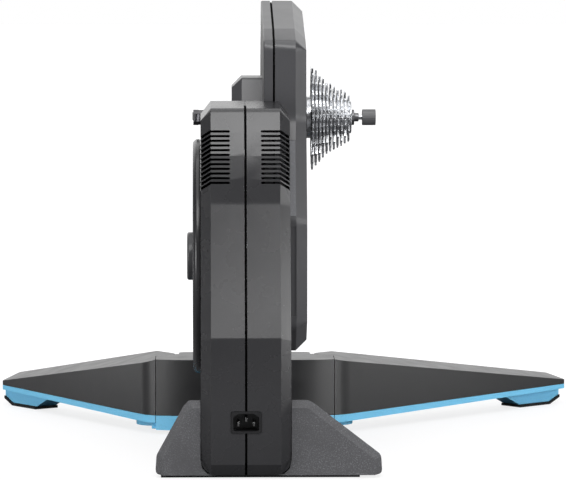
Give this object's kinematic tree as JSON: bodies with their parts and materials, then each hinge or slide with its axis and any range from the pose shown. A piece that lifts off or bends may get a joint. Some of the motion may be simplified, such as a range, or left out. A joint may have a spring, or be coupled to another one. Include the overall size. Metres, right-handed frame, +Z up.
{
  "type": "direct drive bike trainer",
  "caption": "Direct drive bike trainer with a belt-driven flywheel, a sprocket cassette on its axle and two folding front legs.",
  "frame": {"origin": "on the floor, under the middle of the footprint; X = 0 is the bike's middle plane", "axes": "+Y is the riding direction, +X is the drive side, +Z is up"},
  "size_m": [0.6331, 0.6698, 0.4588],
  "materials": {
    "shell_grey": "satin moulded",
    "cover_grey": "satin moulded",
    "texture_grey": "coarse texture",
    "deep_black": "matt",
    "leg_black": "satin powder coat",
    "tray_blue": "satin moulded",
    "rubber_black": "matt",
    "bright_steel": "machined",
    "dark_steel": "blackened",
    "cast_aluminium": "cast",
    "board_green": "circuit board"
  },
  "bodies": {
    "frame": {"shell_left": "shell_grey", "shell_right": "shell_grey", "seam_seal_rear": "deep_black", "seam_seal_base": "deep_black", "flywheel_cover": "shell_grey", "flywheel_cap": "cover_grey", "belt_cover_left": "cover_grey", "belt_cover_right": "cover_grey", "rim_cover": "texture_grey", "belt_case_seal": "deep_black", "main_plate": "cast_aluminium", "axle_tube": "bright_steel", "left_end_cap": "bright_steel", "right_end_cap": "bright_steel", "skewer_rod": "bright_steel", "skewer_head": "bright_steel", "pulley_bearing": "bright_steel", "belt": "rubber_black", "idler_arm": "bright_steel", "flywheel_bearing_outer": "bright_steel", "flywheel_bearing_inner": "bright_steel", "brake_core": "bright_steel", "freehub_bearing": "bright_steel", "inlet_housing": "deep_black", "inlet_pin_line": "bright_steel", "inlet_pin_earth": "bright_steel", "inlet_pin_neutral": "bright_steel", "control_board": "board_green", "base_rail": "dark_steel", "base_foot": "texture_grey", "base_pad": "rubber_black", "hub_shell": "leg_black", "hub_tray": "tray_blue", "hinge_pin_left": "bright_steel", "hinge_pin_right": "bright_steel"},
    "pulley": {"drive_pulley": "cast_aluminium"},
    "cassette": {"freehub_body": "bright_steel", "sprocket_25": "bright_steel", "sprocket_23": "bright_steel", "sprocket_21": "bright_steel", "sprocket_19": "bright_steel", "sprocket_17": "bright_steel", "sprocket_16": "bright_steel", "sprocket_15": "bright_steel", "sprocket_14": "bright_steel", "sprocket_13": "bright_steel", "sprocket_12": "bright_steel", "sprocket_11": "bright_steel", "lockring": "bright_steel"},
    "flywheel_group": {"flywheel": "dark_steel", "flywheel_shaft": "bright_steel"},
    "idler": {"idler_pulley": "dark_steel"},
    "nut": {"skewer_nut": "dark_steel"},
    "lever": {"skewer_lever": "dark_steel"},
    "left_leg": {"left_leg_shell": "leg_black", "left_leg_tray": "tray_blue", "left_foot_pad": "rubber_black"},
    "right_leg": {"right_leg_shell": "leg_black", "right_leg_tray": "tray_blue", "right_foot_pad": "rubber_black"}
  },
  "joints": [
    {"name": "flywheel_spin", "type": "hinge", "parent": "frame", "child": "flywheel_group", "pos_m": [0, -0.112, 0.2], "axis": [1, 0, 0], "continuous": true},
    {"name": "pulley_spin", "type": "hinge", "parent": "frame", "child": "pulley", "pos_m": [0, -0.072, 0.34], "axis": [1, 0, 0], "continuous": true},
    {"name": "idler_spin", "type": "hinge", "parent": "frame", "child": "idler", "pos_m": [0, -0.0562, 0.20445], "axis": [1, 0, 0], "continuous": true},
    {"name": "cassette_spin", "type": "hinge", "parent": "frame", "child": "cassette", "pos_m": [0, -0.072, 0.34], "axis": [1, 0, 0], "continuous": true},
    {"name": "nut_spin", "type": "hinge", "parent": "frame", "child": "nut", "pos_m": [0, -0.072, 0.34], "axis": [1, 0, 0], "continuous": true},
    {"name": "lever_flip", "type": "hinge", "parent": "frame", "child": "lever", "pos_m": [-0.0926, -0.072, 0.34], "axis": [0, 0, 1], "range_deg": [0, 170]},
    {"name": "left_leg_fold", "type": "hinge", "parent": "frame", "child": "left_leg", "pos_m": [-0.141, 0.084, 0.045], "axis": [0, 0, 1], "range_deg": [-32, 0]},
    {"name": "right_leg_fold", "type": "hinge", "parent": "frame", "child": "right_leg", "pos_m": [0.048, 0.084, 0.045], "axis": [0, 0, 1], "range_deg": [0, 45]}
  ],
  "couplings": [
    {"joint": "pulley_spin", "follows": "flywheel_spin", "ratio": 0.13542},
    {"joint": "idler_spin", "follows": "flywheel_spin", "ratio": -0.86667}
  ]
}
